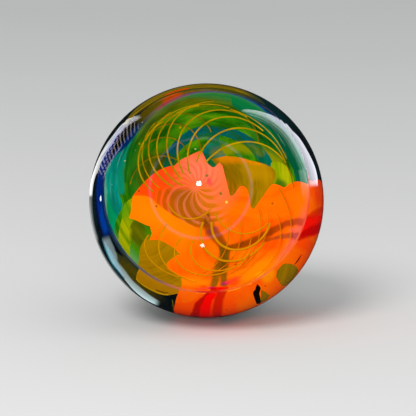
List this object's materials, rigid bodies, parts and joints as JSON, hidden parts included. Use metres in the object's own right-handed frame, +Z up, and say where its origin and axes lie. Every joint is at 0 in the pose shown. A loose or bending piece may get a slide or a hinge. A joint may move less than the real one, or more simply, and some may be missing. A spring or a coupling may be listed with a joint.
{
  "type": "glass marble",
  "caption": "Handmade glass ball: clear lens over a bowl of coloured glass, a vortex of fine yellow threads inside, dark back.",
  "frame": {"origin": "middle of the ball", "axes": "+Z up, -Y towards the viewer; the face of clear glass looks along -Y, tipped up 20 degrees towards +Z, and +X is its right-hand side"},
  "size_m": [0.044, 0.044, 0.044],
  "materials": {
    "clear_glass": "polished clear glass",
    "dark_glass": "polished near-black green glass",
    "violet_glass": "violet glass, from magenta through blue round the seam",
    "green_glass": "opaque green glass with brushed darker streaks, yellow-green at the top",
    "teal_glass": "opaque teal glass",
    "turquoise_glass": "opaque turquoise glass with deep green lines",
    "teal_green_glass": "opaque teal-green glass",
    "lime_glass": "opaque lime glass",
    "pink_orange_glass": "opaque pinkish orange glass",
    "deep_orange_glass": "opaque orange glass, amber-orange at its left edge",
    "bright_orange_glass": "opaque bright orange glass",
    "orange_glass": "opaque orange glass",
    "amber_glass": "opaque amber glass with darker streaks",
    "whorl_glass": "opaque amber glass with pinkish grey stripes",
    "brown_glass": "opaque brown glass",
    "dark_red_glass": "opaque dark red glass",
    "red_glass": "opaque bright red glass",
    "olive_glass": "opaque olive glass",
    "rust_glass": "opaque rust-red glass",
    "navy_glass": "opaque navy blue glass",
    "blue_teal_glass": "opaque blue-teal glass",
    "amber_spot_glass": "opaque amber glass",
    "yellow_thread_glass": "opaque golden yellow glass",
    "fine_thread_glass": "opaque golden yellow glass, finer"
  },
  "bodies": {
    "root": {"clear_lens": "clear_glass", "dark_backing": "dark_glass", "violet_rim": "violet_glass", "green_ground": "green_glass", "teal_arc": "teal_glass", "left_teal": "turquoise_glass", "right_teal": "teal_green_glass", "left_lime": "lime_glass", "right_lime": "lime_glass", "upper_petal": "pink_orange_glass", "left_petal": "deep_orange_glass", "right_petal": "bright_orange_glass", "lower_petal": "orange_glass", "upper_amber": "amber_glass", "lower_amber": "amber_glass", "amber_whorl": "whorl_glass", "eye_vein": "brown_glass", "right_vein": "dark_red_glass", "lower_vein": "dark_red_glass", "right_flame": "red_glass", "lower_flame": "red_glass", "olive_band": "olive_glass", "red_dash": "rust_glass", "blue_edge": "navy_glass", "teal_sliver": "blue_teal_glass", "right_amber_spot": "amber_spot_glass", "lower_amber_spot": "amber_spot_glass", "near_threads": "yellow_thread_glass", "far_threads": "fine_thread_glass"}
  },
  "joints": []
}
